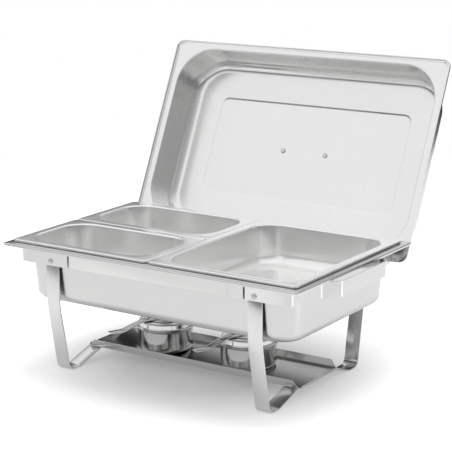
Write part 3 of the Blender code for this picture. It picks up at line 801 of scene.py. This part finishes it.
def world():
    """White to the camera. To everything else a soft studio, dark at the horizon and low down behind."""
    made = bpy.data.worlds.new("studio")
    bpy.context.scene.world = made
    made.use_nodes = True
    tree = made.node_tree
    tree.nodes.clear()
    out = node(tree, "ShaderNodeOutputWorld")
    path = node(tree, "ShaderNodeLightPath")
    white = node(tree, "ShaderNodeBackground", Color=(1, 1, 1, 1), Strength=1.0)
    room = node(tree, "ShaderNodeBackground", Strength=SKY_STRENGTH)
    mix = node(tree, "ShaderNodeMixShader")
    coords = node(tree, "ShaderNodeTexCoord")
    split = node(tree, "ShaderNodeSeparateXYZ")
    tree.links.new(coords.outputs["Generated"], split.inputs[0])
    height = node(tree, "ShaderNodeMapRange", From_Min=SKY_LOW, From_Max=1.0)
    tree.links.new(split.outputs["Z"], height.inputs["Value"])

    def ramp(stops):
        """Stops of (height, brightness); the colours are divided by the strength, as a ramp stops at 1."""
        made = node(tree, "ShaderNodeValToRGB")
        tree.links.new(height.outputs["Result"], made.inputs["Fac"])
        elements = made.color_ramp.elements
        while len(elements) < len(stops):
            elements.new(0.5)
        for element, (z, value) in zip(elements, stops):
            element.position = (z - SKY_LOW) / (1 - SKY_LOW)
            grey = value / SKY_STRENGTH
            element.color = (grey, grey, grey, 1)
        return made.outputs["Color"]

    front = node(tree, "ShaderNodeMix")
    front.data_type = "RGBA"
    across = node(tree, "ShaderNodeMapRange", From_Min=0.05, From_Max=0.5)
    tree.links.new(split.outputs["X"], across.inputs["Value"])
    tree.links.new(across.outputs["Result"], front.inputs["Factor"])
    tree.links.new(ramp(FRONT_SKY), front.inputs["A"])
    tree.links.new(ramp(RIGHT_SKY), front.inputs["B"])
    front = front.outputs["Result"]
    rear = ramp(REAR_SKY)
    side = node(tree, "ShaderNodeMapRange", From_Min=-0.15, From_Max=0.45)
    tree.links.new(split.outputs["Y"], side.inputs["Value"])
    sky = node(tree, "ShaderNodeMix")
    sky.data_type = "RGBA"
    tree.links.new(side.outputs["Result"], sky.inputs["Factor"])
    tree.links.new(front, sky.inputs["A"])
    tree.links.new(rear, sky.inputs["B"])
    tree.links.new(sky.outputs["Result"], room.inputs["Color"])
    tree.links.new(path.outputs["Is Camera Ray"], mix.inputs[0])
    tree.links.new(room.outputs[0], mix.inputs[1])
    tree.links.new(white.outputs[0], mix.inputs[2])
    tree.links.new(mix.outputs[0], out.inputs[0])


def softbox(name, place, aim, size, watts, reflected=False):
    """A square area light that the camera never sees; it shows in the metal only if reflected is true."""
    data = bpy.data.lights.new(name, "AREA")
    data.shape = "SQUARE"
    data.size = size
    data.energy = watts
    made = bpy.data.objects.new(name, data)
    bpy.context.scene.collection.objects.link(made)
    made.location = place
    made.rotation_euler = (Vector(aim) - Vector(place)).to_track_quat("-Z", "Y").to_euler()
    made.visible_camera = False
    made.visible_glossy = reflected


def main():
    """The whole picture: camera, materials, the dish piece by piece, floor, world and lights."""
    make_camera()
    bpy.context.scene.view_settings.view_transform = "Standard"
    # Each kind of sheet: its tone, how rough it is, which way its grain runs and how fine and deep that is.
    # The shelf's and the fasteners' tones are darkened as painted shade.
    pan = steel("pan_steel", (0.71, 0.71, 0.705), 0.2, grain=(1, 1, 6), grain_size=260, bump=0.015)
    lid_tone, food_tone = (0.83, 0.83, 0.825), (0.88, 0.88, 0.875)
    lid = steel("lid_steel", lid_tone, 0.22, (1, 6, 6), grain_size=240, bump=0.012, rubbing_and_highlight=0.1, metal=0.97)
    food = steel("food_steel", food_tone, 0.2, (1, 1, 4), grain_size=260, bump=0.015, rubbing_and_highlight=0.15, metal=0.74)
    strap = steel("frame_steel", (0.72, 0.72, 0.715), 0.2, grain=(1, 1, 9), grain_size=240, bump=0.03)
    leg = steel("leg_steel", (0.76, 0.76, 0.755), 0.16, grain=(9, 1, 1), grain_size=240, bump=0.03)
    # The shelf's dark tone is painted shade: it stands for the shade and the dark reflections under the
    # pan.
    tray = steel("shelf_steel", (0.50, 0.50, 0.495), 0.13, grain=(1, 7, 7), grain_size=240, bump=0.03)
    cups = steel("burner_steel", (0.74, 0.74, 0.735), 0.09, grain=(1, 1, 9), grain_size=300, bump=0.05)
    bright = steel("bright_steel", (0.74, 0.74, 0.73), 0.16, grain=(4, 4, 4), grain_size=300, bump=0.05)
    # The fasteners' dark tone is painted shade: it stands for the crescent shadows by the rivets and the
    # dark rings round the screw heads.
    fastener = steel("fastener_steel", (0.50, 0.50, 0.495), 0.2, grain=(3, 3, 3), grain_size=500, bump=0.08)

    water_pan(pan)
    food_pans(food)
    frame_ring(strap)
    leg_frame("left", -LEG_X, leg)
    leg_frame("right", LEG_X, leg)
    fuel_shelf(tray)
    burner("left", cups, bright)
    burner("right", cups, bright)
    lid_shell(lid)
    # The CAD nodes that are shown as they are: the lid's handle and rests, and the fasteners.
    for part in frame["record"]["subparts"]:
        shown = bpy.data.objects.get(part["node"])
        if shown and not shown.hide_render:
            shown.data.materials.clear()
            # The fasteners get the darker steel, whose tone is painted shade.
            is_fastener = part["material_slot"] == "fastener_steel"
            shown.data.materials.append(fastener if is_fastener else strap)
    floor()
    world()
    softbox("top_light", (0.1, 0.5, 2.4), (0, 0, 0), size=1.7, watts=38)
    # A small low light on the right, for the bright lines down the bends of the end strip.
    glint_y = DISH_Y - 0.08
    softbox("bend_glint", (0.6, glint_y, 0.09), (0, glint_y, 0.19), size=0.1, watts=0.036, reflected=True)


main()
